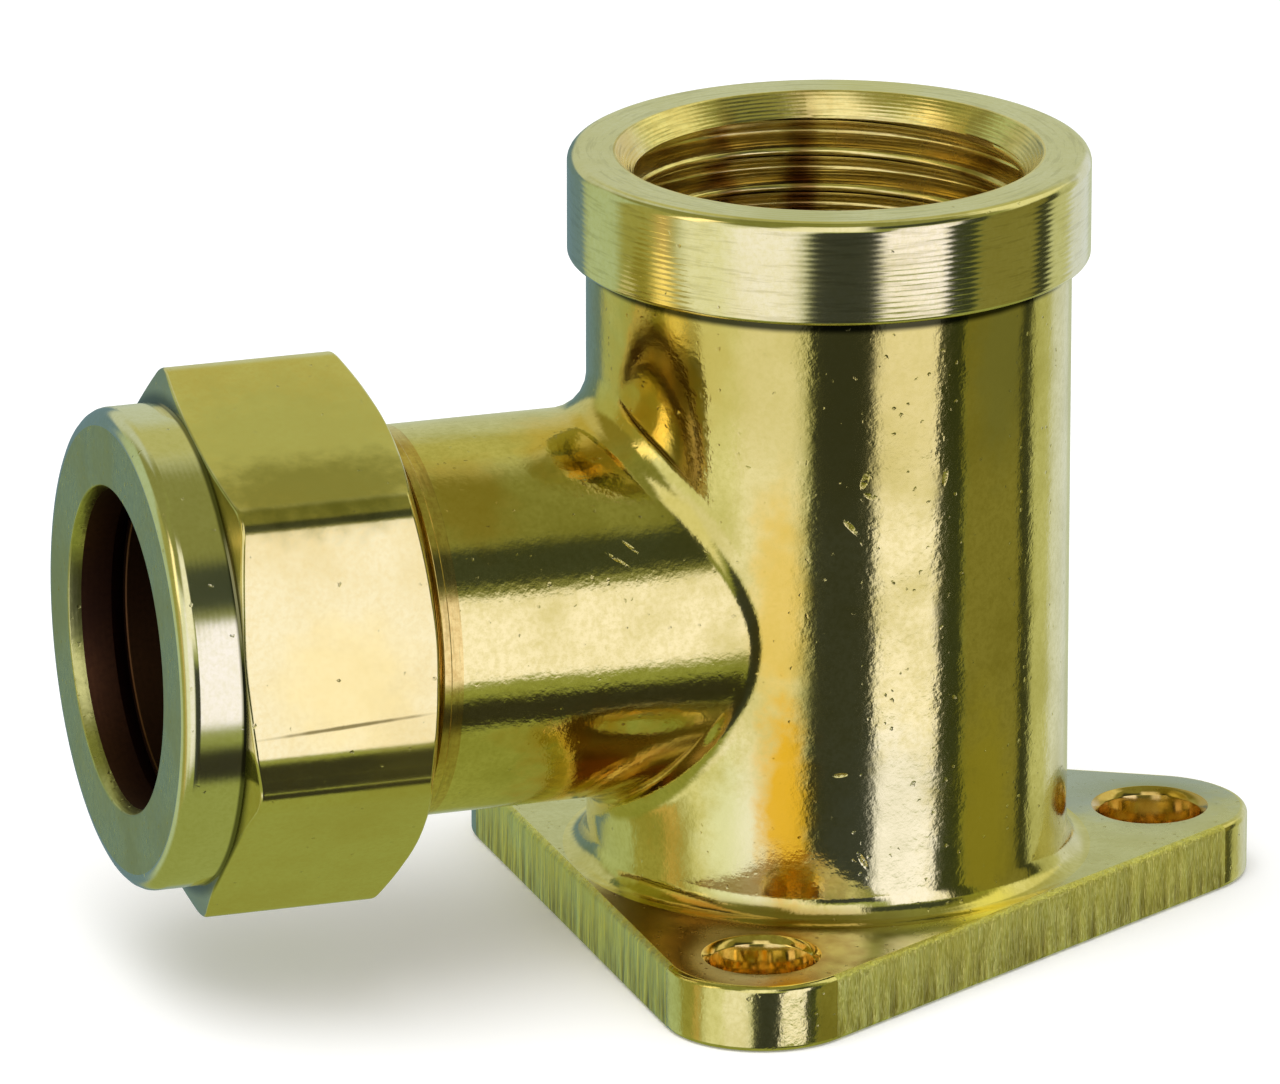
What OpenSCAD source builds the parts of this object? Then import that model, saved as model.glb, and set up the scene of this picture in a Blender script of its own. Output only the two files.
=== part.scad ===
// Wall plate elbow for 15 mm pipe: a forged brass elbow on a three-hole wall plate, with a
// half-inch female thread away from the wall and a compression joint for the pipe.
// Z is the axis of the threaded socket, the wall is the plane Z = 0, and the branch runs to -X.

/* [Wall plate] */
// Thickness of the triangular plate
plate_t = 3.2; // [2.5:0.1:4]
// Distance from the socket axis to each straight edge of the plate
plate_edge_r = 13.1; // [12.9:0.1:13.6]
// Distance from the socket axis to the centre of each fixing hole
hole_pitch_r = 16.7; // [16:0.1:18]
// Diameter of the fixing holes
hole_d = 5; // [4:0.1:5.4]
// Width of the chamfer round the mouth of each fixing hole
hole_chamfer = 0.35; // [0.1:0.05:0.6]
// Radius of the fillet between barrel and plate
foot_fillet = 1.2; // [0.5:0.1:1.2]

/* [Threaded socket] */
// Height of the socket mouth above the wall
socket_h = 38; // [36:0.5:44]
// Wall of the barrel outside the roots of the socket's thread
barrel_wall = 1.12; // [0.8:0.02:1.4]
// Step of the turned collar round the mouth, above the barrel
collar_step = 0.9; // [0.4:0.05:1.6]
// Height of the collar
collar_h = 5; // [3:0.5:8]
// Rounding of the collar's top edge
collar_round = 0.5; // [0.2:0.1:0.9]
// Chamfer of the collar's lower edge
collar_break = 0.2; // [0.1:0.05:0.4]
// Bore of the socket at the crests of its thread
socket_minor_d = 18.63; // [18:0.01:19]
// Pitch of the socket's thread and of the spigot's
thread_pitch = 1.814; // [1.337:0.001:2.309]
// Length of the threaded bore, from the mouth
socket_thread_l = 15; // [12:0.5:16]
// Diameter of the chamfered mouth
mouth_d = 20.4; // [19.4:0.1:21.2]
// Depth of the chamfer of the mouth
mouth_chamfer_l = 1.1; // [0.5:0.1:1.6]
// Diameter of the drilled waterway under the thread
waterway_d = 14.4; // [12:0.1:15]

/* [Branch] */
// Height of the branch axis above the wall
branch_z = 16.7; // [15.5:0.1:18]
// Outside diameter of the branch
branch_d = 18.7; // [18:0.1:19.4]
// Distance from the socket axis to the end of the as-forged branch
branch_l = 22; // [20:0.5:26]
// Radius of the blend between branch and barrel
saddle_blend = 1.8; // [1:0.1:2.2]
// Raised ring at the end of the branch, above the branch surface
ring_rise = 0.12; // [0.05:0.01:0.3]
// Length of that ring
ring_l = 0.45; // [0.3:0.05:0.8]
// Depth of the thread relief, as a share of the wall round the pipe socket
relief_share = 0.2; // [0.1:0.02:0.4]
// Length of the thread relief
relief_l = 1.15; // [0.8:0.05:1.6]
// Length of the threaded spigot beyond the relief
spigot_l = 5.35; // [5:0.05:6]
// Diameter of the spigot over the crests of its thread
spigot_major_d = 20.9; // [20.6:0.05:21]
// Chamfer of the spigot's free end
spigot_chamfer = 0.7; // [0.4:0.1:1]
// Diameter of the waterway between pipe stop and socket
branch_bore_d = 12.8; // [11:0.1:13.5]
// Distance from the socket axis to the pipe stop
pipe_stop_x = 17.5; // [14:0.5:19]

/* [Pipe and olive] */
// Outside diameter of the pipe that the joint takes
pipe_d = 15; // [15:0.1:15.2]
// Gap round the pipe in the olive
olive_gap = 0.05; // [0.03:0.01:0.1]
// Gap round the pipe in the body's socket
pipe_gap = 0.1; // [0.08:0.01:0.15]
// Gap round the pipe in the nut
nut_gap = 0.15; // [0.12:0.01:0.2]
// Length of the olive
olive_l = 5.2; // [4.6:0.1:5.6]
// Wall of the olive at its middle
olive_wall = 1.15; // [1:0.05:1.3]
// Wall of the olive at its ends
olive_end_wall = 0.5; // [0.4:0.05:0.7]
// Half angle of the cone that the olive seats in, at the spigot
seat_angle = 30; // [26:1:34]
// Clear distance between the loose olive and each cone
olive_clear = 0.2; // [0.15:0.01:0.3]

/* [Nut] */
// Size of the nut across its flats
nut_af = 23.2; // [23:0.1:24]
// Overall length of the nut
nut_l = 12.4; // [12:0.1:13]
// Clear distance between the branch ring's face and the back of the nut
nut_standoff = 0.85; // [0.6:0.05:1]
// Diameter of the round boss at the front
boss_d = 23; // [22:0.1:23]
// Length of the boss
boss_l = 2.95; // [2:0.05:3.2]
// Rounding of the boss's front edge
boss_round = 0.8; // [0.3:0.1:1]
// Running clearance between the nut's bore and the spigot, on the radius
thread_clear = 0.06; // [0.02:0.01:0.1]
// Angle of the hex's front chamfer, from the face
front_chamfer_angle = 14; // [10:1:30]
// Angle of the hex's back chamfer, from the face
back_chamfer_angle = 24; // [10:1:30]
// Chamfer of the nut's threaded mouth
nut_mouth_chamfer = 0.5; // [0.3:0.1:0.6]
// Angle that the nut stands turned by
nut_turn = 12.8; // [0:0.1:60]
// Thickness of the front wall that the pipe passes through
nut_front_wall = 2.1; // [1.6:0.1:2.4]
// Largest diameter of the nut's cone on the olive
nut_seat_d = 19.4; // [18.6:0.1:20]
// Length of the eased mouth of the pipe hole
hole_ease_l = 0.6; // [0.3:0.1:1]
// Width of the eased mouth of the pipe hole
hole_ease = 0.2; // [0.1:0.05:0.4]

/* [Hidden] */
$fn = 96;
// Overrun of every cut past the face that it opens
over = 1;
// Half angle of a drill's point, and the share of its radius that its chisel edge leaves flat
drill_half_angle = 59;
drill_flat_share = 0.1;
corners = 3;
corner_step = 360 / corners;
hex_sides = 6;

// Whitworth form: depth, and the flats left at crest and root, as shares of the pitch
thread_depth_share = 0.64;
thread_flat_share = 1 / 6;
thread_depth = thread_pitch * thread_depth_share;
thread_flat = thread_pitch * thread_flat_share;
thread_flank = thread_pitch / 2 - thread_flat;

socket_minor_r = socket_minor_d / 2;
socket_root_r = socket_minor_r + thread_depth;
barrel_r = socket_root_r + barrel_wall;
collar_r = barrel_r + collar_step;
branch_r = branch_d / 2;
collar_z = socket_h - collar_h;
plate_corner_r = plate_edge_r - hole_pitch_r / 2;
hole_r = hole_d / 2;
waterway_r = waterway_d / 2;
branch_bore_r = branch_bore_d / 2;
// The waterway's full width ends level with the bottom of the branch bore
waterway_floor_z = branch_z - branch_bore_r;

ring_end = branch_l + ring_l;
spigot_start = ring_end + relief_l;
spigot_end = spigot_start + spigot_l;
spigot_r = spigot_major_d / 2;
pipe_r = pipe_d / 2;
pipe_socket_r = pipe_r + pipe_gap;
relief_r = branch_r - relief_share * (branch_r - pipe_socket_r);

nut_back = ring_end + nut_standoff;
nut_front = nut_back + nut_l;
nut_flat_r = nut_af / 2;
nut_corner_r = nut_flat_r / cos(180 / hex_sides);
nut_bore_r = spigot_r + thread_clear;
nut_hole_r = pipe_r + nut_gap;
nut_seat_r = nut_seat_d / 2;
nut_seat_front = nut_front - nut_front_wall;
nut_seat_back = nut_seat_front - (nut_seat_r - nut_hole_r);
boss_back = nut_front - boss_l;

olive_bore_r = pipe_r + olive_gap;
olive_r = olive_bore_r + olive_wall;
olive_end_r = olive_bore_r + olive_end_wall;
olive_rise = olive_r - olive_end_r;
// Radius of the crown of the olive, an arc through its two ends and its middle
olive_crown_r = (pow(olive_l / 2, 2) + pow(olive_rise, 2)) / (2 * olive_rise);
// The nut's cone is at 45 degrees, so the olive's front end clears it by the same
// distance along the axis as across it
olive_front = nut_seat_front - (olive_end_r - nut_hole_r) - olive_clear / cos(45);
olive_mid = olive_front - olive_l / 2;
// Distance from the small end of the spigot's cone to the middle of the olive,
// with the crown clear of the cone by olive_clear
seat_reach = ((olive_crown_r + olive_clear) / cos(seat_angle) - pipe_socket_r + olive_r - olive_crown_r)
    / tan(seat_angle);
seat_small_end = olive_mid - seat_reach;
seat_mouth_r = pipe_socket_r + (spigot_end - seat_small_end) * tan(seat_angle);

// Steps round the saddle blend and across its arc
saddle_steps = 72;
blend_steps = 6;
// Share of the blend radius by which its two edges are let into the metal
blend_sink_share = 0.03;

// Carries a shape drawn along Z onto the branch axis, pointing away from the socket
module on_branch() {
    translate([0, 0, branch_z])
        rotate([0, -90, 0])
            children();
}

// Turns a list of [radius, distance] points round the axis
module turned(points) {
    rotate_extrude()
        polygon(points);
}

// Places children at the three corners of the plate, the first one opposite the branch
module at_corners() {
    for (k = [0 : corners - 1])
        rotate([0, 0, k * corner_step])
            translate([hole_pitch_r, 0, 0])
                children();
}

// Rounded triangle: an arc round each fixing hole, and straight edges between them
module plate_outline() {
    edge_angles = [for (k = [0 : corners - 1]) (k + 1 / 2) * corner_step];
    edge_ends = [for (a = edge_angles, side = [-1, 1])
        hole_pitch_r * [cos(a + side * corner_step / 2), sin(a + side * corner_step / 2)]
        + plate_corner_r * [cos(a), sin(a)]];
    at_corners()
        circle(plate_corner_r);
    polygon(edge_ends);
}

// Quarter-round fillet between an upright wall at radius r and a floor at height z
module fillet_profile(r, z, fillet) {
    translate([r, z])
        difference() {
            square(fillet);
            translate([fillet, fillet])
                circle(fillet);
        }
}

// Half section of the barrel with its foot fillet and its turned collar
module barrel_profile() {
    square([barrel_r, socket_h]);
    square([barrel_r + foot_fillet, plate_t]);
    fillet_profile(barrel_r, plate_t, foot_fillet);
    polygon([
        [0, collar_z],
        [collar_r - collar_break, collar_z],
        [collar_r, collar_z + collar_break],
        [collar_r, socket_h - collar_round],
        [collar_r - collar_round, socket_h - collar_round],
        [collar_r - collar_round, socket_h],
        [0, socket_h]
    ]);
    translate([collar_r - collar_round, socket_h - collar_round])
        intersection() {
            circle(collar_round);
            square(collar_round);
        }
}

// Half section of a thread's grooves, drawn as rings, in the last whole turns before `end`
function thread_grooves(end, length, crest_r, root_r) =
    [for (turn = [floor(length / thread_pitch) : -1 : 1])
        let (start = end - turn * thread_pitch + thread_flat / 2)
        each [
            [crest_r, start],
            [root_r, start + thread_flank],
            [root_r, start + thread_flank + thread_flat],
            [crest_r, start + thread_flank * 2 + thread_flat]
        ]];

// Outside of the branch: forged neck, raised ring, thread relief and threaded spigot
module branch_outside() {
    chamfer_start = spigot_end - spigot_chamfer;
    turned([
        [0, 0],
        [branch_r, 0],
        [branch_r, branch_l],
        [branch_r + ring_rise, branch_l],
        [branch_r + ring_rise, ring_end],
        [relief_r, ring_end],
        [relief_r, spigot_start],
        [spigot_r, spigot_start],
        each thread_grooves(chamfer_start, chamfer_start - spigot_start, spigot_r, spigot_r - thread_depth),
        [spigot_r, chamfer_start],
        [spigot_r - spigot_chamfer, spigot_end],
        [0, spigot_end]
    ]);
}

// Inside of the branch: cone for the olive, pipe socket with its stop, and the waterway
module branch_inside() {
    turned([
        [0, 0],
        [branch_bore_r, 0],
        [branch_bore_r, pipe_stop_x],
        [pipe_socket_r, pipe_stop_x],
        [pipe_socket_r, seat_small_end],
        [seat_mouth_r, spigot_end],
        [seat_mouth_r, spigot_end + over],
        [0, spigot_end + over]
    ]);
}

// Inside of the socket: chamfered mouth, threaded bore, and the drilled waterway
module socket_inside() {
    thread_end = socket_h - socket_thread_l;
    chamfer_end = socket_h - mouth_chamfer_l;
    drill_flat_r = waterway_r * drill_flat_share;
    drill_tip_z = waterway_floor_z - (waterway_r - drill_flat_r) / tan(drill_half_angle);
    turned([
        [0, drill_tip_z],
        [drill_flat_r, drill_tip_z],
        [waterway_r, waterway_floor_z],
        [waterway_r, thread_end],
        [socket_minor_r, thread_end],
        each thread_grooves(chamfer_end, chamfer_end - thread_end, socket_minor_r, socket_root_r),
        [socket_minor_r, chamfer_end],
        [mouth_d / 2, socket_h],
        [mouth_d / 2, socket_h + over],
        [0, socket_h + over]
    ]);
}

// Centre of a ball that rolls in the corner between barrel and branch, at angle t round the branch
function ball_centre(t) =
    let (y = (branch_r + saddle_blend) * cos(t), z = (branch_r + saddle_blend) * sin(t))
    [-sqrt(pow(barrel_r + saddle_blend, 2) - y * y), y, branch_z + z];

// Direction from the ball's centre to where it touches the branch, and to where it touches the barrel
function to_branch(t) = [0, -cos(t), -sin(t)];
function to_barrel(c) = [-c[0], -c[1], 0] / (barrel_r + saddle_blend);

// Direction that lies a share s of the way round the arc from a to b
function along_arc(a, b, s) =
    let (angle = acos(a * b))
    (a * sin((1 - s) * angle) + b * sin(s * angle)) / sin(angle);

// Ring with a hollow quarter-round outside, where the branch grows out of the barrel
module saddle_fillet() {
    row_points = blend_steps + 2;
    edge_r = saddle_blend * (1 + blend_sink_share);
    points = [for (i = [0 : saddle_steps - 1])
        let (t = i * 360 / saddle_steps, c = ball_centre(t), a = to_branch(t), b = to_barrel(c))
        each [
            c + edge_r * a,
            for (j = [1 : blend_steps - 1]) c + saddle_blend * along_arc(a, b, j / blend_steps),
            c + edge_r * b,
            c + saddle_blend * (a + b)
        ]];
    faces = [for (i = [0 : saddle_steps - 1], j = [0 : row_points - 1])
        let (
            i2 = (i + 1) % saddle_steps,
            j2 = (j + 1) % row_points,
            p = i * row_points,
            q = i2 * row_points
        )
        each [[p + j, q + j, q + j2], [p + j, q + j2, p + j2]]];
    polyhedron(points, faces);
}

// The forging: plate, barrel and branch in one piece, with its machined bores
module elbow_body() {
    color("gold")
        difference() {
            union() {
                linear_extrude(plate_t)
                    plate_outline();
                rotate_extrude()
                    barrel_profile();
                on_branch()
                    branch_outside();
                saddle_fillet();
            }
            socket_inside();
            on_branch()
                branch_inside();
            at_corners() {
                translate([0, 0, -over])
                    cylinder(h = plate_t + 2 * over, r = hole_r);
                translate([0, 0, plate_t - hole_chamfer])
                    cylinder(h = hole_chamfer + over, r1 = hole_r, r2 = hole_r + hole_chamfer + over);
            }
        }
}

// The ring that the nut squeezes onto the pipe, thickest at its middle
module olive() {
    color("darkgoldenrod")
        on_branch()
            rotate_extrude()
                intersection() {
                    translate([olive_r - olive_crown_r, olive_mid])
                        circle(olive_crown_r);
                    translate([olive_bore_r, olive_mid - olive_l / 2])
                        square([olive_r, olive_l]);
                }
}

// Limits of the hex: a chamfer cone at each end, which leaves the arcs on the flats
module hex_limits() {
    corner_rise = nut_corner_r - nut_flat_r;
    turned([
        [0, nut_back],
        [nut_flat_r, nut_back],
        [nut_corner_r + corner_rise, nut_back + 2 * corner_rise * tan(back_chamfer_angle)],
        [nut_corner_r + corner_rise, boss_back - 2 * corner_rise * tan(front_chamfer_angle)],
        [nut_flat_r, boss_back],
        [0, boss_back]
    ]);
}

// Round boss at the front of the nut, with a rounded front edge
module boss_profile() {
    square([boss_d / 2 - boss_round, nut_front]);
    square([boss_d / 2, nut_front - boss_round]);
    translate([boss_d / 2 - boss_round, nut_front - boss_round])
        circle(boss_round);
}

// Inside of the nut: threaded bore, cone on the olive and the hole for the pipe
module nut_inside() {
    turned([
        [0, nut_back - over],
        [nut_bore_r + nut_mouth_chamfer, nut_back - over],
        [nut_bore_r + nut_mouth_chamfer, nut_back],
        [nut_bore_r, nut_back + nut_mouth_chamfer],
        [nut_bore_r, nut_seat_back],
        [nut_seat_r, nut_seat_back],
        [nut_hole_r, nut_seat_front],
        [nut_hole_r, nut_front - hole_ease_l],
        [nut_hole_r + hole_ease, nut_front],
        [nut_hole_r + hole_ease, nut_front + over],
        [0, nut_front + over]
    ]);
}

// The nut: hex with chamfered ends, round boss, threaded inside
module compression_nut() {
    color("khaki")
        on_branch()
            difference() {
                union() {
                    intersection() {
                        rotate([0, 0, nut_turn])
                            cylinder(h = nut_front, r = nut_corner_r, $fn = hex_sides);
                        hex_limits();
                    }
                    rotate_extrude()
                        intersection() {
                            boss_profile();
                            translate([0, nut_back])
                                square([boss_d, nut_l]);
                        }
                }
                nut_inside();
            }
}

elbow_body();
olive();
compression_nut();
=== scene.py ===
from math import atan2, cos, hypot, pi, radians, sin, sqrt, tan

import bmesh
import bpy
from mathutils import Matrix, Vector
from mathutils.geometry import delaunay_2d_cdt


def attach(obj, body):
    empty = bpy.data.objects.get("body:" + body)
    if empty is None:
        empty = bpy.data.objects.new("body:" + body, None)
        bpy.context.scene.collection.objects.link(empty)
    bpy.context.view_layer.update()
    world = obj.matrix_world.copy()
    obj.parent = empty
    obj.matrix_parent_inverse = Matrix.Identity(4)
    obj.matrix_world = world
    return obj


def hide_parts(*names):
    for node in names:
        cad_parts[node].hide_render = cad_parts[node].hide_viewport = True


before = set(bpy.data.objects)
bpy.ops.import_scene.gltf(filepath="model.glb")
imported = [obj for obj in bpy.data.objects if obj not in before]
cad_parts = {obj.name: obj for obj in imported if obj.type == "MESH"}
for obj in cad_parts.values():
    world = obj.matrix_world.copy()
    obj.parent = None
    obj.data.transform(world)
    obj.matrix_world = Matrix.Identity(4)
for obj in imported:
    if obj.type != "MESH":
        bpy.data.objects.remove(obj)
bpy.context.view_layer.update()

scene = bpy.context.scene
mm = 0.001

# Camera
# A long lens about 67 cm from the fitting, 19 degrees round to the nut's side and 18 degrees up.
# The sheet is 1280 by 1084, and the lens has no shift and everything is in focus.
camera_data = bpy.data.cameras.new("camera")
camera_data.sensor_fit = "HORIZONTAL"
camera_data.sensor_width = 36
camera_data.lens = 388.65
camera_data.clip_start = 0.02
camera_data.clip_end = 30
camera = bpy.data.objects.new("camera", camera_data)
scene.collection.objects.link(camera)
camera_right = Vector((0.94722, -0.32058, 0)).normalized()
camera_up = Vector((0.09860, 0.29134, 0.95153))
camera_up = (camera_up - camera_up.dot(camera_right) * camera_right).normalized()
camera_back = camera_right.cross(camera_up)
camera.matrix_world = Matrix.Translation((-0.21090, -0.59505, 0.22242)) @ Matrix(
    (camera_right, camera_up, camera_back)).transposed().to_4x4()
scene.camera = camera


# Table and studio
# A pale matt table top and a white room. The table keeps the soft shadow of the fitting.
# Polished brass shows what stands round it, so mirror rays see the room's white and dull cards.
def add(tree, kind, **values):
    """Adds a node and sets its values: a whole number names an input by its place."""
    made = tree.nodes.new(kind)
    for key, value in values.items():
        if key.startswith("in_"):
            name = key[3:]
            socket = made.inputs[int(name)] if name.isdigit() else made.inputs[name.replace("_", " ")]
            if isinstance(value, bpy.types.NodeSocket):
                tree.links.new(value, socket)
            else:
                socket.default_value = value
        else:
            setattr(made, key, value)
    return made


def work_out(tree, operation, *values):
    """One step of arithmetic on node values or numbers."""
    places = {f"in_{place}": value for place, value in enumerate(values)}
    return add(tree, "ShaderNodeMath", operation=operation, **places).outputs[0]


def plus(tree, first, second):
    return work_out(tree, "ADD", first, second)


def minus(tree, first, second):
    return work_out(tree, "SUBTRACT", first, second)


def times(tree, first, second):
    return work_out(tree, "MULTIPLY", first, second)


def blend_colours(tree, share, first, second):
    """Two colours mixed by a share."""
    first, second = (value if isinstance(value, bpy.types.NodeSocket) else (*value, 1)
                     for value in (first, second))
    return add(tree, "ShaderNodeMix", data_type="RGBA", in_0=share, in_6=first, in_7=second).outputs[2]


def soft_step(tree, value, start, end, at_start=0.0, at_end=1.0):
    """Goes smoothly from one number to another while the value goes from start to end."""
    return add(tree, "ShaderNodeMapRange", interpolation_type="SMOOTHSTEP", in_0=value, in_1=start, in_2=end,
               in_3=at_start, in_4=at_end).outputs[0]


def new_effect(name, places, numbers, outputs):
    """A node group: its tree, the sockets that bring places and numbers in, and those that go out."""
    tree = bpy.data.node_groups.new(name, "ShaderNodeTree")
    for kind, titles in (("NodeSocketVector", places), ("NodeSocketFloat", numbers)):
        for title in titles:
            tree.interface.new_socket(title, in_out="INPUT", socket_type=kind)
    for title in outputs:
        tree.interface.new_socket(title, in_out="OUTPUT", socket_type="NodeSocketFloat")
    return tree, add(tree, "NodeGroupInput").outputs, add(tree, "NodeGroupOutput").inputs


def use(tree, effect, **values):
    """Puts an effect into a tree and gives what comes out of it."""
    made = tree.nodes.new("ShaderNodeGroup")
    made.node_tree = effect
    for key, value in values.items():
        socket = made.inputs[key.replace("_", " ")]
        if isinstance(value, bpy.types.NodeSocket):
            tree.links.new(value, socket)
        else:
            socket.default_value = value
    return made.outputs


studio = bpy.data.worlds.new("studio")
scene.world = studio
studio.use_nodes = True
room = studio.node_tree
room.nodes.clear()

# A card covers an angle round the table and an angle up and down, with a soft edge
card_tree, card_in, card_out = new_effect(
    "card_in_the_room", (),
    ("East", "Up", "Centre", "Half Width", "Lowest", "Highest", "Softness"), ("Cover",))
turn = work_out(card_tree, "WRAP", minus(card_tree, card_in["East"], card_in["Centre"]), 180.0, -180.0)
beyond = minus(card_tree, work_out(card_tree, "ABSOLUTE", turn), card_in["Half Width"])
below = minus(card_tree, card_in["Lowest"], card_in["Up"])
above = minus(card_tree, card_in["Up"], card_in["Highest"])
outside = work_out(card_tree, "MAXIMUM", beyond, work_out(card_tree, "MAXIMUM", below, above))
inner_edge = times(card_tree, card_in["Softness"], -1.0)
cover = soft_step(card_tree, outside, inner_edge, card_in["Softness"], 1.0, 0.0)
card_tree.links.new(cover, card_out["Cover"])

look = add(room, "ShaderNodeSeparateXYZ", in_0=add(room, "ShaderNodeTexCoord").outputs["Generated"]).outputs
up = times(room, work_out(room, "ARCSINE", look[2]), 180 / pi)
east = times(room, work_out(room, "ARCTAN2", look[1], look[0]), 180 / pi)
# The cards lean a little with height
east = minus(room, east, times(room, plus(room, up, 19.0), 0.2))
seen = add(room, "ShaderNodeRGB").outputs[0]
seen.default_value = (0.30, 0.34, 0.09, 1)
# Each card: centre and half width round the table, lowest and highest angle, soft edge, colour
for centre, half_width, lowest, highest, softness, colour in (
        (0, 180, 26, 90, 12, (0.24, 0.25, 0.07)),
        (62, 50, -32, 62, 10, (0.55, 0.60, 0.44)),
        (50, 34, 32, 62, 9, (0.50, 0.50, 0.20)),
        (94, 20, -34, 10, 4, (0.15, 0.24, 0.28)),
        (131, 16, -34, 30, 6, (0.44, 0.54, 0.32)),
        (157, 12, -34, 30, 5, (0.34, 0.34, 0.09)),
        (-160, 20, -34, 30, 7, (0.84, 0.86, 0.64)),
        (172, 4, -34, 8, 5, (0.62, 0.46, 0.16)),
        (-137, 16, -36, 30, 7, (0.98, 0.97, 0.96)),
        (178, 6, 12, 42, 4, (1.60, 1.35, 0.75)),
        (-122, 22, 16, 62, 6, (1.00, 0.98, 0.80)),
        (-2, 24, 22, 58, 6, (0.85, 0.85, 0.50)),
        (-102.5, 16, -50, 8, 3, (0.044, 0.050, 0.040)),
        (-70, 17, -22, 26, 3, (1.12, 1.08, 1.22)),
        (-71, 32, -49, -32, 3, (0.036, 0.036, 0.020)),
        (-74, 26, 31, 53, 4, (0.050, 0.060, 0.032)),
        (-49, 7.5, -24, 26, 2, (0.040, 0.050, 0.022)),
        (-23, 18, -30, 22, 2, (0.22, 0.21, 0.05)),
        (-1, 5, -30, 18, 2, (0.040, 0.046, 0.022)),
        (14, 10, -30, 20, 3, (0.55, 0.58, 0.32)),
        (36, 14, -30, 20, 5, (0.70, 0.76, 0.80))):
    card = use(room, card_tree, East=east, Up=up, Centre=centre, Half_Width=half_width, Lowest=lowest,
               Highest=highest, Softness=softness)
    seen = blend_colours(room, card["Cover"], seen, colour)
ray = add(room, "ShaderNodeLightPath").outputs
mirrored = blend_colours(room, ray["Is Glossy Ray"], (1, 1, 1), seen)
shown = work_out(room, "MAXIMUM", ray["Is Camera Ray"],
                 work_out(room, "MAXIMUM", ray["Is Glossy Ray"], ray["Is Transmission Ray"]))
plain_light = add(room, "ShaderNodeBackground", in_Color=(1, 1, 1, 1), in_Strength=0.72)
backdrop = add(room, "ShaderNodeBackground", in_Color=mirrored, in_Strength=1.0)
either = add(room, "ShaderNodeMixShader", in_0=shown, in_1=plain_light.outputs[0], in_2=backdrop.outputs[0])
room.links.new(either.outputs[0], add(room, "ShaderNodeOutputWorld").inputs[0])

lamp_data = bpy.data.lights.new("softbox", "AREA")
lamp_data.shape = "RECTANGLE"
lamp_data.size = 0.9
lamp_data.size_y = 0.7
lamp_data.energy = 5.5
lamp = bpy.data.objects.new("softbox", lamp_data)
lamp_place = Vector((-0.25, -0.2, 0.85))
lamp.matrix_world = Matrix.Translation(lamp_place) @ lamp_place.to_track_quat("Z", "Y").to_matrix().to_4x4()
lamp.visible_glossy = False
scene.collection.objects.link(lamp)

table_mesh = bpy.data.meshes.new("table")
table_half, table_top = 4, -0.00004
table_corners = [(table_half * x, table_half * y, table_top) for x, y in ((-1, -1), (1, -1), (1, 1), (-1, 1))]
table_mesh.from_pydata(table_corners, [], [(0, 1, 2, 3)])
table = bpy.data.objects.new("table", table_mesh)
scene.collection.objects.link(table)
table_paint = bpy.data.materials.new("white_table")
table_paint.use_nodes = True
paint = table_paint.node_tree
paint.nodes.clear()
matt = add(paint, "ShaderNodeBsdfDiffuse", in_Color=(0.90, 0.90, 0.90, 1))
lift = add(paint, "ShaderNodeEmission", in_Color=(1, 1, 1, 1), in_Strength=0.16)
ray = add(paint, "ShaderNodeLightPath").outputs
lifted = add(paint, "ShaderNodeAddShader", in_0=matt.outputs[0], in_1=lift.outputs[0])
for_camera = add(paint, "ShaderNodeMixShader", in_0=ray["Is Camera Ray"], in_1=matt.outputs[0],
                 in_2=lifted.outputs[0])
see_room = work_out(paint, "MAXIMUM", ray["Is Glossy Ray"], ray["Is Transmission Ray"])
for_mirror = add(paint, "ShaderNodeMixShader", in_0=see_room, in_1=for_camera.outputs[0],
                 in_2=add(paint, "ShaderNodeBsdfTransparent").outputs[0])
paint.links.new(for_mirror.outputs[0], add(paint, "ShaderNodeOutputMaterial").inputs[0])
table_mesh.materials.append(table_paint)


# Elbow body, the skin
# One hot brass pressing: a triangular wall plate, an upright barrel and a branch lying across it.
# The press leaves the blends and the soft corners; the collar, mouth, threads and bores are turned.
plate_thickness, plate_corner = 3.2, 4.75
hole_pitch, hole_radius, hole_chamfer = 16.7, 2.5, 0.35
barrel_radius, collar_radius, collar_bottom, socket_top = 11.6, 12.5, 33.0, 38.0
mouth_radius, mouth_bottom, thread_crest, thread_root = 10.2, 36.9, 9.315, 10.478
thread_bottom, waterway_radius, waterway_floor = 23.0, 7.2, 10.3
foot_blend, saddle_blend = 1.15, 1.8
branch_height, branch_radius, branch_bore = 16.7, 9.35, 6.15
ring_start, ring_end, ring_radius = 22.0, 22.45, 9.47
relief_radius, spigot_start, spigot_end = 9.0, 23.6, 28.95
spigot_crest, spigot_root, spigot_nose = 10.45, 9.315, 9.3
pipe_stop, pipe_socket, seat_start, seat_mouth = 17.5, 7.6, 26.532, 8.996
pitch = 25.4 / 14

forged, turned, face, trimmed, drilled, threaded, bored, ringed, rubbed = range(9)
arc_shares = (0, 0.05, 0.2, 0.4, 0.6, 0.8, 0.95, 1)


def eased(*corners):
    """A half section, as radius and place along the axis, with each corner's rounding drawn in."""
    section = []
    for number, (radius, along, rounding) in enumerate(corners):
        here = Vector((radius, along))
        if rounding == 0 or number in (0, len(corners) - 1):
            section.append(tuple(here))
            continue
        before = (Vector(corners[number - 1][:2]) - here).normalized()
        after = (Vector(corners[number + 1][:2]) - here).normalized()
        half = before.angle(after) / 2
        reach = rounding / tan(half)
        middle = here + (before + after).normalized() * rounding / sin(half)
        first, last = here + before * reach - middle, here + after * reach - middle
        sweep = first.angle(last)
        for share in arc_shares:
            on_arc = (first * sin((1 - share) * sweep) + last * sin(share * sweep)) / sin(sweep)
            section.append(tuple(middle + on_arc))
    return section


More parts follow.
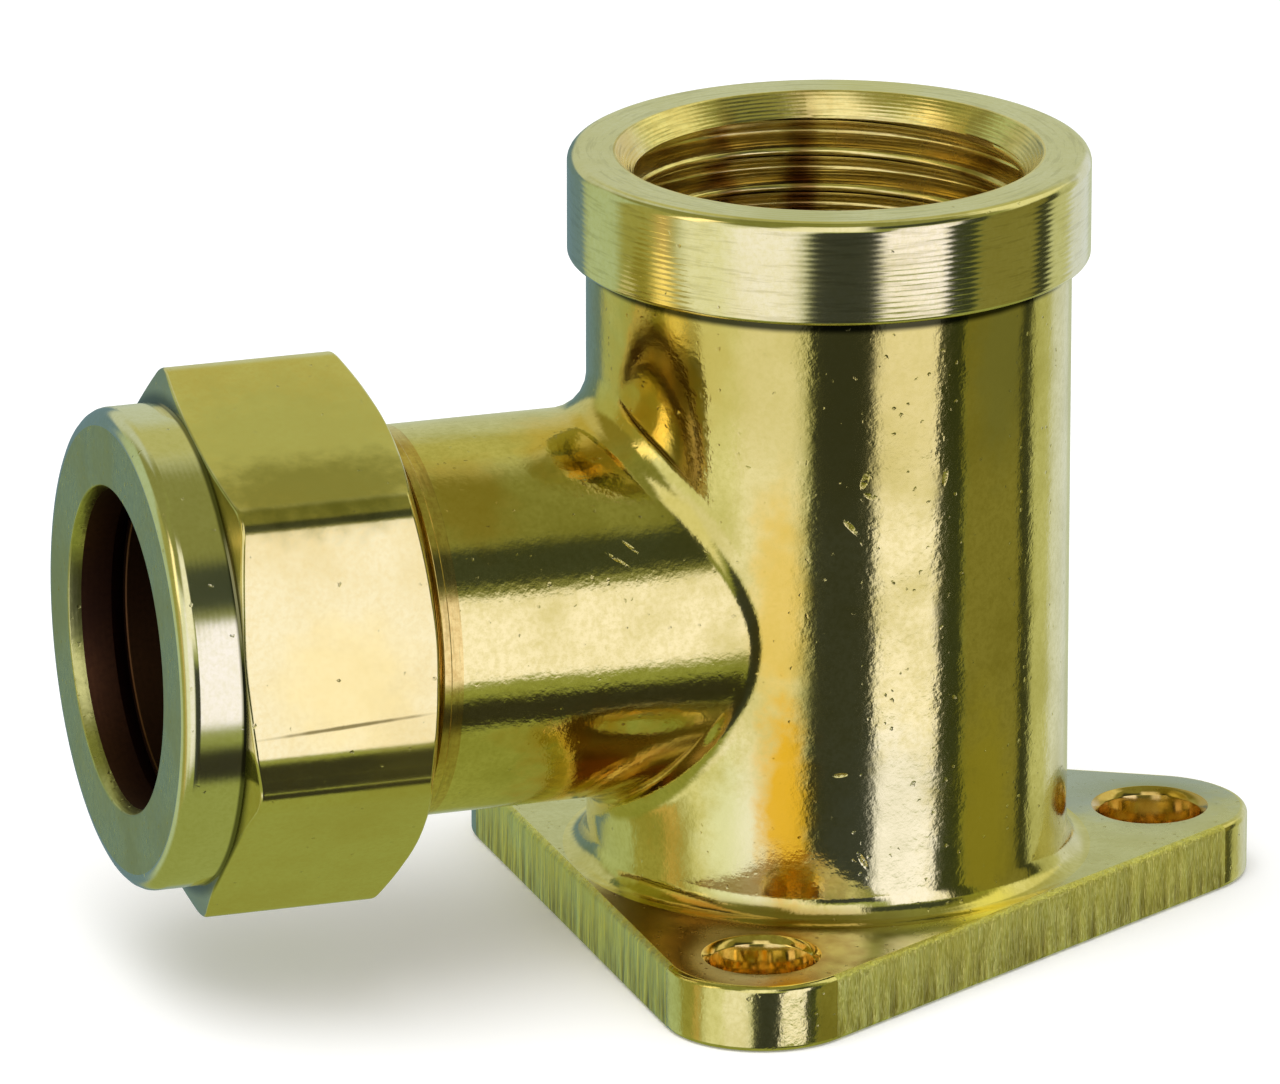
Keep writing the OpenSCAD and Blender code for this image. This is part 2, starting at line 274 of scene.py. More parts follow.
def up_the_barrel(radius, turn, along):
    """A point of the barrel: turn is measured from the side the branch is on."""
    return (-radius * cos(turn), radius * sin(turn), along)


def out_along_branch(radius, turn, along):
    """A point of the branch or nut: turn is measured from the top, along from the barrel's axis."""
    return (-along, radius * sin(turn), branch_height + radius * cos(turn))


class Skin:
    """The faces of one piece, as rows of points joined to each other, with the finish of each face."""

    def __init__(self):
        self.points, self.faces, self.finishes = [], [], []

    def join(self, rows, finish, skip=None):
        """Joins rows of points that run round and back to their start, but for the faces that skip names."""
        start, across = len(self.points), len(rows[0])
        for row in rows:
            self.points.extend(row)
        for row in range(len(rows) - 1):
            for column in range(across):
                if skip and skip(row, column):
                    continue
                beside = (column + 1) % across
                self.faces.append((start + row * across + column, start + row * across + beside,
                                   start + (row + 1) * across + beside, start + (row + 1) * across + column))
                self.finishes.append(finish)

    def add_faces(self, points, faces, finish):
        start = len(self.points)
        self.points.extend(points)
        self.faces.extend(tuple(start + corner for corner in one) for one in faces)
        self.finishes.extend([finish] * len(faces))

    def close(self, ring, tip, finish):
        fan = [(i, (i + 1) % len(ring), len(ring)) for i in range(len(ring))]
        self.add_faces(list(ring) + [tip], fan, finish)

    def make(self, name, finishes):
        """Welds the rows into one closed mesh with its faces outwards, and creases its sharp edges."""
        mesh = bpy.data.meshes.new(name)
        mesh.from_pydata([Vector(p) * mm for p in self.points], [], self.faces)
        for finish in finishes:
            mesh.materials.append(finish)
        mesh.polygons.foreach_set("material_index", self.finishes)
        work = bmesh.new()
        work.from_mesh(mesh)
        bmesh.ops.remove_doubles(work, verts=work.verts, dist=2e-6)
        bmesh.ops.dissolve_degenerate(work, edges=work.edges, dist=1e-7)
        bmesh.ops.recalc_face_normals(work, faces=work.faces)
        for one in work.faces:
            one.smooth = True
        for edge in work.edges:
            if len(edge.link_faces) == 2 and edge.calc_face_angle() > radians(42):
                edge.smooth = False
        work.to_mesh(mesh)
        work.free()
        piece = bpy.data.objects.new(name, mesh)
        scene.collection.objects.link(piece)
        return piece


body = Skin()
barrel_columns, column_degrees, branch_columns = 144, 2.5, 192
barrel_turns = [radians(column_degrees * i) for i in range(barrel_columns)]
branch_turns = [pi / 2 - 2 * pi * i / branch_columns for i in range(branch_columns)]


def barrel_rows(section):
    return [[up_the_barrel(radius, turn, along) for turn in barrel_turns] for radius, along in section]


def branch_rows(section):
    return [[out_along_branch(radius, turn, along) for turn in branch_turns] for radius, along in section]


# The wall of a barrel is left open in a window of 52 columns by 44 rows, where the branch goes in.
# The window's edge is joined to the branch's own ring by rows that lie on the barrel.
half_window, window_tall = 26, 44
window_edge = ([(half_window, row) for row in range(window_tall // 2, window_tall)]
               + [(half_window - column, window_tall) for column in range(2 * half_window)]
               + [(-half_window, window_tall - row) for row in range(window_tall)]
               + [(column - half_window, 0) for column in range(2 * half_window)]
               + [(half_window, row) for row in range(window_tall // 2)])


def in_window(first_row):
    """Tells the faces of the window, which begins at this row."""
    return lambda row, column: (first_row <= row < first_row + window_tall
                                and (column < half_window or column >= barrel_columns - half_window))


def window_rows(radius, heights, ring, steps):
    """Rows from the window's edge to a ring of points on the same barrel."""
    rows = []
    for step in range(steps + 1):
        share, row = step / steps, []
        for (column, level), (x, y, z) in zip(window_edge, ring):
            turn = radians(column_degrees * column) * (1 - share) + atan2(y, -x) * share
            row.append(up_the_barrel(radius, turn, heights[level] * (1 - share) + z * share))
        rows.append(row)
    return rows


# Blend of branch and barrel: the path of a ball that rolls in the corner between them
ball_from_barrel, ball_from_branch = barrel_radius + saddle_blend, branch_radius + saddle_blend
blend_rows = [[] for share in arc_shares]
for turn in branch_turns:
    y, rise = ball_from_branch * sin(turn), ball_from_branch * cos(turn)
    ball = Vector((-sqrt(ball_from_barrel ** 2 - y * y), y, branch_height + rise))
    to_barrel = Vector((-ball.x, -y, 0)).normalized()
    to_branch = Vector((0, -y, -rise)).normalized()
    sweep = to_barrel.angle(to_branch)
    for row, share in zip(blend_rows, arc_shares):
        side = (to_barrel * sin((1 - share) * sweep) + to_branch * sin(share * sweep)) / sin(sweep)
        row.append(tuple(ball + side * saddle_blend))

foot_shares = (0, 0.03, 0.1, 0.2, 0.3, 0.4, 0.5, 0.6, 0.7, 0.8, 0.9, 0.97, 1)
foot = [(barrel_radius + foot_blend * (1 - sin(share * pi / 2)),
         plate_thickness + foot_blend * (1 - cos(share * pi / 2))) for share in foot_shares]
window_bottom, window_height = 4.7, 24
wall_heights = [window_bottom + window_height * row / window_tall for row in range(window_tall + 1)]
under_collar = barrel_radius - 0.05
body.join(barrel_rows(foot + [(barrel_radius, z) for z in wall_heights] + eased(
    (barrel_radius, 31.0, 0), (barrel_radius, 32.8, 0.04), (under_collar, collar_bottom, 0))), forged,
          skip=in_window(len(foot)))
body.join(window_rows(barrel_radius, wall_heights, blend_rows[0], 5), forged)
body.join(blend_rows, forged)
neck_end = ring_start - 0.6
body.join([[(x * (1 - share) - neck_end * share, y, z) for x, y, z in blend_rows[-1]]
           for share in (0, 0.1, 0.25, 0.4, 0.6, 0.8, 1)], forged)
mouth_edge = mouth_radius + 0.1
body.join(barrel_rows(eased((under_collar, collar_bottom, 0), (collar_radius, collar_bottom, 0.22),
                            (collar_radius, socket_top, 0.5), (mouth_edge, socket_top, 0))), turned)
body.join(barrel_rows(eased((mouth_edge, socket_top, 0), (mouth_radius, socket_top, 0.06),
                            (thread_crest, mouth_bottom, 0))), threaded)
body.join(branch_rows(eased((branch_radius, neck_end, 0), (branch_radius, ring_start, 0.04),
                            (ring_radius, ring_start, 0.05), (ring_radius, ring_end, 0.09),
                            (relief_radius, ring_end, 0.15), (relief_radius, spigot_start, 0))), ringed)

# Inside: shoulder under the thread, waterway, drilled tip, branch bore, pipe socket and the olive's seat
water_bottom, water_height = 10.4, 12.5
water_heights = [water_bottom + water_height * row / window_tall for row in range(window_tall + 1)]
body.join(barrel_rows([(thread_crest, thread_bottom), (waterway_radius, thread_bottom)]), bored)
water_levels = [thread_bottom] + water_heights[::-1] + [waterway_floor]
body.join(barrel_rows([(waterway_radius, z) for z in water_levels]), bored, skip=in_window(1))
bore_ring = []
for turn in branch_turns:
    y = branch_bore * sin(turn)
    bore_ring.append((-sqrt(waterway_radius ** 2 - y * y), y, branch_height + branch_bore * cos(turn)))
body.join(window_rows(waterway_radius, water_heights, bore_ring, 3), bored)
tip_radius, drill_half_angle = 0.7, 59
drill_tip = waterway_floor - (waterway_radius - tip_radius) / tan(radians(drill_half_angle))
body.join(barrel_rows([(waterway_radius, waterway_floor), (tip_radius, drill_tip)]), bored)
body.close(barrel_rows([(tip_radius, drill_tip)])[0], (0, 0, drill_tip), bored)
body.join([[(x * (1 - share) - pipe_stop * share, y, z) for x, y, z in bore_ring]
           for share in (0, 0.5, 1)], bored)
body.join(branch_rows([(branch_bore, pipe_stop), (pipe_socket, pipe_stop), (pipe_socket, seat_start),
                       (seat_mouth, spigot_end), (spigot_nose, spigot_end)]), bored)


# Plate: three straight trimmed edges, corners round the screw holes
corner_steps, side_steps, hole_points = 24, 30, 48


def plate_ring(inset, z):
    """The plate's outline, moved in by inset."""
    ring, corner_radius = [], plate_corner - inset
    for corner in range(3):
        out = radians(120 * corner)
        middle_x, middle_y = hole_pitch * cos(out), hole_pitch * sin(out)
        for step in range(corner_steps + 1):
            turn = out + radians(-60 + 120 / corner_steps * step)
            ring.append((middle_x + corner_radius * cos(turn), middle_y + corner_radius * sin(turn), z))
        next_out, side_out = out + 2 * pi / 3, out + pi / 3
        following = Vector((hole_pitch * cos(next_out) + corner_radius * cos(side_out),
                            hole_pitch * sin(next_out) + corner_radius * sin(side_out), z))
        last = Vector(ring[-1])
        ring.extend(tuple(last.lerp(following, step / side_steps)) for step in range(1, side_steps))
    return ring


def hole_ring(corner, radius, z):
    """A ring of points round one of the screw holes."""
    out = radians(120 * corner)
    return [(hole_pitch * cos(out) + radius * cos(2 * pi * i / hole_points),
             hole_pitch * sin(out) + radius * sin(2 * pi * i / hole_points), z) for i in range(hole_points)]


def flat_face(skin, loops, keep, finish):
    """Fills the flat ground between loops of points, where keep allows it."""
    points, edges = [], []
    for loop in loops:
        start = len(points)
        points.extend(loop)
        edges.extend((start + i, start + (i + 1) % len(loop)) for i in range(len(loop)))
    level, least_area = points[0][2], 1e-4
    laid, _, triangles = delaunay_2d_cdt([Vector(p[:2]) for p in points], edges, [], 0, 1e-6)[:3]
    kept = [one for one in triangles
            if abs((laid[one[1]] - laid[one[0]]).cross(laid[one[2]] - laid[one[0]])) > least_area
            and keep(sum((laid[i] for i in one), Vector((0, 0))) / 3)]
    skin.add_faces([(p.x, p.y, level) for p in laid], kept, finish)


def clear_of_holes(middle, radius):
    """True where a triangle's middle lies outside the straight sides of every hole's ring."""
    return all(hypot(middle.x - hole_pitch * cos(2 * pi * k / 3), middle.y - hole_pitch * sin(2 * pi * k / 3))
               > radius * cos(pi / hole_points) for k in range(3))


edge_ease, back_ease = 0.33, 0.25
eased_thickness = plate_thickness - edge_ease
side_rows = [plate_ring(edge_ease * (1 - sin(share * pi / 2)),
                        eased_thickness + edge_ease * cos(share * pi / 2)) for share in arc_shares]
side_rows += [plate_ring(0, eased_thickness - (eased_thickness - back_ease) * level / 8)
              for level in range(1, 8)]
side_rows += [plate_ring(back_ease * (1 - cos(share * pi / 2)), back_ease * (1 - sin(share * pi / 2)))
              for share in arc_shares]
corner_and_side = corner_steps + side_steps
body.join(side_rows, rubbed, skip=lambda row, column: column % corner_and_side >= corner_steps)
body.join(side_rows, trimmed, skip=lambda row, column: column % corner_and_side < corner_steps)
chamfer_round, back_chamfer = 0.03, 0.12
hole_mouth, hole_back = hole_radius + hole_chamfer, hole_radius + back_chamfer
for corner in range(3):
    body.join([hole_ring(corner, hole_mouth, plate_thickness),
               hole_ring(corner, hole_mouth - chamfer_round, plate_thickness - 0.01),
               hole_ring(corner, hole_radius + chamfer_round, plate_thickness - hole_chamfer + chamfer_round),
               hole_ring(corner, hole_radius, plate_thickness - hole_chamfer - chamfer_round),
               hole_ring(corner, hole_radius, back_chamfer), hole_ring(corner, hole_back, 0)], drilled)
foot_inside = foot[0][0] * cos(radians(column_degrees / 2))
flat_face(body, [plate_ring(edge_ease, plate_thickness), barrel_rows([foot[0]])[0]]
          + [hole_ring(corner, hole_mouth, plate_thickness) for corner in range(3)],
          lambda middle: middle.length > foot_inside and clear_of_holes(middle, hole_mouth), face)
flat_face(body, [plate_ring(back_ease, 0)] + [hole_ring(corner, hole_back, 0) for corner in range(3)],
          lambda middle: clear_of_holes(middle, hole_back), face)


# Threads
# Half-inch pipe thread, 14 turns to the inch, right-handed, cut in the socket and on the spigot.
# The tool's rounded groove follows a helix and runs out where the cut ends.
thread_tree = bpy.data.node_groups.new("cut_thread", "GeometryNodeTree")
thread_tree.interface.new_socket("Geometry", in_out="INPUT", socket_type="NodeSocketGeometry")
thread_inputs = ("Crest Radius", "Root Radius", "Pitch", "Start", "Length", "Turned By", "Phase", "Inside",
                 "Start Radius", "Start Slope", "End Radius", "End Slope")
for name in thread_inputs:
    thread_tree.interface.new_socket(name, in_out="INPUT", socket_type="NodeSocketFloat")
for name in ("Columns", "Rows"):
    thread_tree.interface.new_socket(name, in_out="INPUT", socket_type="NodeSocketInt")
thread_tree.interface.new_socket("Material", in_out="INPUT", socket_type="NodeSocketMaterial")
thread_tree.interface.new_socket("Geometry", in_out="OUTPUT", socket_type="NodeSocketGeometry")
given = add(thread_tree, "NodeGroupInput").outputs


def reckon(operation, *values):
    return work_out(thread_tree, operation, *values)


sleeve = add(thread_tree, "GeometryNodeMeshGrid", in_0=1.0, in_1=1.0,
             in_2=reckon("ADD", given["Columns"], 1.0), in_3=reckon("ADD", given["Rows"], 1.0))
grid_place = add(thread_tree, "GeometryNodeInputPosition").outputs[0]
spot = add(thread_tree, "ShaderNodeSeparateXYZ", in_0=grid_place).outputs
around = reckon("ADD", reckon("ADD", spot[0], 0.5), reckon("DIVIDE", given["Turned By"], 360.0))
depth_in = reckon("MULTIPLY", reckon("ADD", spot[1], 0.5), given["Length"])
place_along = reckon("ADD", given["Start"], depth_in)
wound_on = reckon("SUBTRACT", reckon("DIVIDE", place_along, given["Pitch"]), around)
wave = reckon("FRACT", reckon("ADD", wound_on, given["Phase"]))
flank = reckon("ABSOLUTE", reckon("SUBTRACT", reckon("MULTIPLY", wave, 2.0), 1.0))
flank = soft_step(thread_tree, flank, 0.1, 0.9)
cut = reckon("ADD", given["Root Radius"],
             reckon("MULTIPLY", flank, reckon("SUBTRACT", given["Crest Radius"], given["Root Radius"])))
at_start = reckon("ADD", reckon("MULTIPLY", given["Inside"], given["Start Radius"]),
                  reckon("MULTIPLY", depth_in, given["Start Slope"]))
at_end = reckon("ADD", reckon("MULTIPLY", given["Inside"], given["End Radius"]),
                reckon("MULTIPLY", reckon("SUBTRACT", given["Length"], depth_in), given["End Slope"]))
limited = reckon("MINIMUM", reckon("MULTIPLY", given["Inside"], cut), reckon("MINIMUM", at_start, at_end))
thread_radius = reckon("MULTIPLY", limited, given["Inside"])
turned_to = reckon("MULTIPLY", around, 2 * pi)
wrapped = add(thread_tree, "ShaderNodeCombineXYZ", in_2=place_along,
              in_0=reckon("MULTIPLY", thread_radius, reckon("COSINE", turned_to)),
              in_1=reckon("MULTIPLY", thread_radius, reckon("SINE", turned_to)))
moved = add(thread_tree, "GeometryNodeSetPosition", in_Geometry=sleeve.outputs[0],
            in_Position=wrapped.outputs[0])
welded = add(thread_tree, "GeometryNodeMergeByDistance", in_Geometry=moved.outputs[0], in_Distance=0.004)
real = add(thread_tree, "GeometryNodeRealizeInstances", in_Geometry=welded.outputs[0])
finished = add(thread_tree, "GeometryNodeSetMaterial", in_Geometry=real.outputs[0],
               in_Material=given["Material"])
thread_tree.links.new(finished.outputs[0], add(thread_tree, "NodeGroupOutput").inputs[0])


def cut_thread(skin, place, finish, columns, rows, **sizes):
    """Cuts one thread with the tree, in millimetres about an upright axis, and lays it into a skin."""
    blank = bpy.data.objects.new("blank", bpy.data.meshes.new("blank"))
    scene.collection.objects.link(blank)
    tool = blank.modifiers.new("thread", "NODES")
    tool.node_group = thread_tree
    values = {name: float(sizes.get(name.lower().replace(" ", "_"), 0)) for name in thread_inputs}
    values.update({"Columns": columns, "Rows": rows, "Pitch": pitch})
    for item in thread_tree.interface.items_tree:
        if item.item_type == "SOCKET" and item.in_out == "INPUT" and item.name in values:
            tool[item.identifier] = values[item.name]
    ready = blank.evaluated_get(bpy.context.evaluated_depsgraph_get())
    mesh = bpy.data.meshes.new_from_object(ready)
    skin.add_faces([place(hypot(v.co.x, v.co.y), atan2(v.co.y, v.co.x), v.co.z) for v in mesh.vertices],
                   [tuple(one.vertices) for one in mesh.polygons], finish)
    bpy.data.objects.remove(blank)
    bpy.data.meshes.remove(mesh)


cut_thread(body, lambda radius, turn, along: (radius * cos(turn), radius * sin(turn), along), threaded,
           barrel_columns, 126, crest_radius=thread_crest, root_radius=thread_root, start=thread_bottom,
           length=mouth_bottom - thread_bottom, phase=0.863, inside=1,
           start_radius=thread_crest, start_slope=0.9, end_radius=thread_crest, end_slope=1.6)
cut_thread(body, out_along_branch, ringed, branch_columns, 54,
           crest_radius=spigot_crest, root_radius=spigot_root, start=spigot_start,
           length=spigot_end - spigot_start, phase=0.3, inside=1,
           start_radius=relief_radius, start_slope=1.73, end_radius=spigot_nose, end_slope=1.4)


# Brass
# The fitting is one yellow brass throughout, so its finishes share their marks and differ in amount. Some of
# their colours are painted shade, painted highlights and painted reflections.
# Each group gives only a height in millimetres, a share from 0 to 1, or degrees and metres.

# Places told as degrees round an axis, distance from it and place along it
axis_effects = {}
for axis in ("barrel", "branch"):
    axis_tree, axis_in, axis_out = new_effect(f"round_the_{axis}", ("Place",), (), ("Around", "Out", "Along"))
    split = add(axis_tree, "ShaderNodeSeparateXYZ", in_0=axis_in["Place"]).outputs
    if axis == "barrel":
        across, along = split[0], split[2]
    else:
        across, along = minus(axis_tree, split[2], branch_height * mm), times(axis_tree, split[0], -1.0)
    around = times(axis_tree, work_out(axis_tree, "ARCTAN2", split[1], across), 180 / pi)
    squares = plus(axis_tree, times(axis_tree, across, across), times(axis_tree, split[1], split[1]))
    for title, value in (("Around", around), ("Out", work_out(axis_tree, "SQRT", squares)), ("Along", along)):
        axis_tree.links.new(value, axis_out[title])
    axis_effects[axis] = axis_tree


def vector_step(tree, operation, output, *values):
    """One step of arithmetic on vectors."""
    places = {f"in_{place}": value for place, value in enumerate(values)}
    return add(tree, "ShaderNodeVectorMath", operation=operation, **places).outputs[output]


# One patch on a round surface, unrolled in millimetres: a stain, a patch of painted shade, highlight or
# reflection, or a nick.
# Seam is half the way round; Across and Upward are the patch's own axes over its half width and height.
patch_tree, patch_in, patch_out = new_effect(
    "patch", ("Spot", "Centre", "Seam", "Across", "Upward"), ("Torn", "Ragged", "Heart"), ("Cover",))
off_centre = vector_step(patch_tree, "SUBTRACT", "Vector", patch_in["Spot"], patch_in["Centre"])
other_seam = vector_step(patch_tree, "MULTIPLY", "Vector", patch_in["Seam"], (-1.0, -1.0, -1.0))
off_centre = vector_step(patch_tree, "WRAP", "Vector", off_centre, patch_in["Seam"], other_seam)
over = vector_step(patch_tree, "DOT_PRODUCT", "Value", off_centre, patch_in["Across"])
along = vector_step(patch_tree, "DOT_PRODUCT", "Value", off_centre, patch_in["Upward"])
reach = work_out(patch_tree, "MULTIPLY_ADD", over, over, times(patch_tree, along, along))
reach = work_out(patch_tree, "MULTIPLY_ADD", minus(patch_tree, patch_in["Torn"], 0.5), patch_in["Ragged"],
                 work_out(patch_tree, "SQRT", reach))
patch_tree.links.new(soft_step(patch_tree, reach, 1.0, patch_in["Heart"]), patch_out["Cover"])


def noise(tree, place, scale, detail, roughness=0.5, output=0):
    """Blender's noise at a place, as one number, or as three with the output Color."""
    return add(tree, "ShaderNodeTexNoise", in_Vector=place, in_Scale=scale, in_Detail=detail,
               in_Roughness=roughness).outputs[output]


# Small pits of the pressing, deeper ones few, gathered in patches
pits, pits_in, pits_out = new_effect("press_pits", ("Place",), ("Size", "Share"), ("Height", "Mark"))
stray = noise(pits, pits_in["Place"], 4200.0, 2.0, output="Color")
strayed = vector_step(pits, "MULTIPLY_ADD", "Vector", stray, (0.0003, 0.0003, 0.0003), pits_in["Place"])
scaled = add(pits, "ShaderNodeVectorMath", operation="SCALE", in_0=strayed,
             in_Scale=work_out(pits, "DIVIDE", 1000.0, pits_in["Size"]))
cell = add(pits, "ShaderNodeTexVoronoi", feature="F1", in_Vector=scaled.outputs[0], in_Scale=0.45,
           in_Randomness=1.0)
chosen = add(pits, "ShaderNodeSeparateColor", in_0=cell.outputs["Color"]).outputs
limit = times(pits, pits_in["Share"], times(pits, noise(pits, pits_in["Place"], 240.0, 2.0), 2.0))
bowl = soft_step(pits, cell.outputs["Distance"], 0.02, 0.34, 1.0, 0.0)
mark = times(pits, times(pits, bowl, work_out(pits, "LESS_THAN", chosen[0], limit)), chosen[1])
pits.links.new(mark, pits_out["Mark"])
pits.links.new(times(pits, mark, -1.0), pits_out["Height"])

# Waves left by the polishing mop, and the fine grain of the pressing that it doesn't reach
mop, mop_in, mop_out = new_effect("mop_polish", ("Place",), ("Wave", "Grain"), ("Height",))
slow = times(mop, noise(mop, mop_in["Place"], 260.0, 2.0), mop_in["Wave"])
worn = add(mop, "ShaderNodeMapRange", in_0=noise(mop, mop_in["Place"], 420.0, 2.0), in_1=0.3, in_2=0.7,
           in_3=0.35, in_4=1.3).outputs[0]
fine = times(mop, noise(mop, mop_in["Place"], 2900.0, 2.0, 0.6), worn)
mop.links.new(plus(mop, slow, times(mop, fine, mop_in["Grain"])), mop_out["Height"])

# Rings of a lathe tool fed a quarter of a millimetre a turn, with some deeper scores between them
lathe, lathe_in, lathe_out = new_effect("lathe_lines", (), ("Along", "Around"), ("Height", "Score"))
feed = work_out(lathe, "SINE", times(lathe, lathe_in["Along"], 2 * pi / 0.00026))
drawn_out = [add(lathe, "ShaderNodeCombineXYZ", in_0=times(lathe, lathe_in["Along"], per_metre),
                 in_1=times(lathe, lathe_in["Around"], per_degree)).outputs[0]
             for per_metre, per_degree in ((4200.0, 0.06), (900.0, 0.05))]
close, broad = noise(lathe, drawn_out[0], 1.0, 3.0, 0.65), noise(lathe, drawn_out[1], 1.0, 2.0)
lathe.links.new(plus(lathe, times(lathe, feed, broad), times(lathe, close, 1.6)), lathe_out["Height"])
lathe.links.new(soft_step(lathe, close, 0.50, 0.36), lathe_out["Score"])

# Thin tarnish: a slow cloud that the hand and the air leave on brass
air, air_in, air_out = new_effect("tarnish", ("Place",), ("Amount",), ("Cloud", "Fleck"))
cloud = soft_step(air, noise(air, air_in["Place"], 170.0, 5.0, 0.6), 0.38, 0.68)
fleck = soft_step(air, noise(air, air_in["Place"], 1900.0, 2.0), 0.55, 0.75)
air.links.new(times(air, cloud, air_in["Amount"]), air_out["Cloud"])
air.links.new(times(air, fleck, air_in["Amount"]), air_out["Fleck"])

pit_shadow, score_shadow, torn_shadow = (0.20, 0.15, 0.04), (0.30, 0.26, 0.08), (0.34, 0.28, 0.05)


def brass(name, bright, dull, gloss, dullness, tarnish=0.5, pit_size=0.16, pit_share=0.0, pit_depth=0.02,
          wave=0.0, grain=0.0, lines=0.0, scoring=0.0, axis="barrel", streaks=0.0, stains_and_painted_light=(), nicks=(),
          rolled_flat=None, mottle=0.4):
    """One brass finish. Depths are in millimetres; stains, painted shade and painted highlights, and nicks
    lie round the barrel or the branch.
    """
    made = bpy.data.materials.new(name)
    made.use_nodes = True
    tree = made.node_tree
    shader = tree.nodes["Principled BSDF"]
    shader.inputs["Metallic"].default_value = 1.0
    place = add(tree, "ShaderNodeTexCoord").outputs["Object"]
    wound = {one: use(tree, effect, Place=place) for one, effect in axis_effects.items()}
    radii = {"barrel": barrel_radius, "branch": branch_radius}
    torn = noise(tree, place, 900.0, 5.0, 0.62)
    spots = {one: add(tree, "ShaderNodeCombineXYZ", in_1=times(tree, wound[one]["Along"], 1000.0),
                      in_0=times(tree, wound[one]["Around"], pi / 180 * radius)).outputs[0]
             for one, radius in radii.items()}

    def patch(one, centre, half_width, along, half_height, lean, ragged, heart=0.3):
        lean_x, lean_y, radius = cos(radians(lean)), sin(radians(lean)), radii[one]
        return use(tree, patch_tree, Torn=torn, Ragged=ragged, Heart=heart, Spot=spots[one],
                   Centre=(radians(centre) * radius, along, 0), Seam=(pi * radius, 1000, 1),
                   Across=(lean_x / half_width, lean_y / half_width, 0),
                   Upward=(-lean_y / half_height, lean_x / half_height, 0))["Cover"]

    weather = use(tree, air, Place=place, Amount=tarnish)
    tint = blend_colours(tree, weather["Cloud"], bright, dull)
    rough = plus(tree, gloss, times(tree, weather["Cloud"], dullness))
    height = use(tree, mop, Place=place, Wave=wave, Grain=grain)["Height"]
    if pit_share:
        pitted = use(tree, pits, Place=place, Size=pit_size, Share=pit_share)
        tint = blend_colours(tree, times(tree, pitted["Mark"], 0.4), tint, pit_shadow)
        rough = plus(tree, rough, times(tree, pitted["Mark"], 0.25))
        height = plus(tree, height, times(tree, pitted["Height"], pit_depth))
    speck = add(tree, "ShaderNodeMapRange", in_0=noise(tree, place, 3600.0, 2.0, 0.7),
                in_1=0.40, in_2=0.66).outputs[0]
    tint = blend_colours(tree, times(tree, speck, mottle), tint, dull)
    tint = blend_colours(tree, times(tree, weather["Fleck"], 0.25), tint, dull)
    if lines:
        way = plus(tree, wound[axis]["Along"], times(tree, wound[axis]["Out"], 0.83))
        lathed = use(tree, lathe, Along=way, Around=wound[axis]["Around"])
        height = plus(tree, height, times(tree, lathed["Height"], lines))
        tint = blend_colours(tree, times(tree, lathed["Score"], scoring), tint, score_shadow)
    # Stains and painted light: some tints are the brass's own colour, others are painted shade, painted
    # highlights and painted reflections.
    for one, centre, half_width, along, half_height, lean, ragged, colour, share in stains_and_painted_light:
        cover = patch(one, centre, half_width, along, half_height, lean, ragged)
        tint = blend_colours(tree, times(tree, cover, share), tint, colour)
    for one, centre, along, length, width, lean, depth in nicks:
        cover = times(tree, patch(one, centre, length, along, width, lean, 1.7, 0.0), speck)
        height = plus(tree, height, times(tree, cover, -2.0 * depth))
    if streaks:
        long_place = add(tree, "ShaderNodeMapping", in_Vector=place, in_Scale=(1, 1, 0.10)).outputs[0]
        torn_edge = noise(tree, long_place, 1900.0, 4.0, 0.72)
        height = plus(tree, height, times(tree, torn_edge, streaks))
        dark_streak = add(tree, "ShaderNodeMapRange", in_0=torn_edge, in_1=0.60, in_2=0.38).outputs[0]
        torn_low = add(tree, "ShaderNodeMapRange", in_0=wound["barrel"]["Along"], in_1=0.0024, in_2=0.0006,
                       in_3=0.25, in_4=0.9).outputs[0]
        tint = blend_colours(tree, times(tree, dark_streak, torn_low), tint, torn_shadow)
    if rolled_flat:
        hex_turned, half_across, depth = rolled_flat
        off_flat = minus(tree, wound["branch"]["Around"], hex_turned + 30.0)
        off_flat = times(tree, work_out(tree, "WRAP", off_flat, 30.0, -30.0), pi / 180)
        from_middle = times(tree, work_out(tree, "TANGENT", off_flat), -half_across)
        here = work_out(tree, "COMPARE", wound["branch"]["Around"], hex_turned - 90.0, 30.0)
        rolled = times(tree, soft_step(tree, from_middle, 4.2, 6.3), here)
        height = plus(tree, height, times(tree, rolled, -depth))
    bump = add(tree, "ShaderNodeBump", in_Strength=1.0, in_Distance=mm, in_Height=height)
    for title, value in (("Base Color", tint), ("Roughness", rough), ("Normal", bump.outputs[0])):
        tree.links.new(value, shader.inputs[title])
    return made
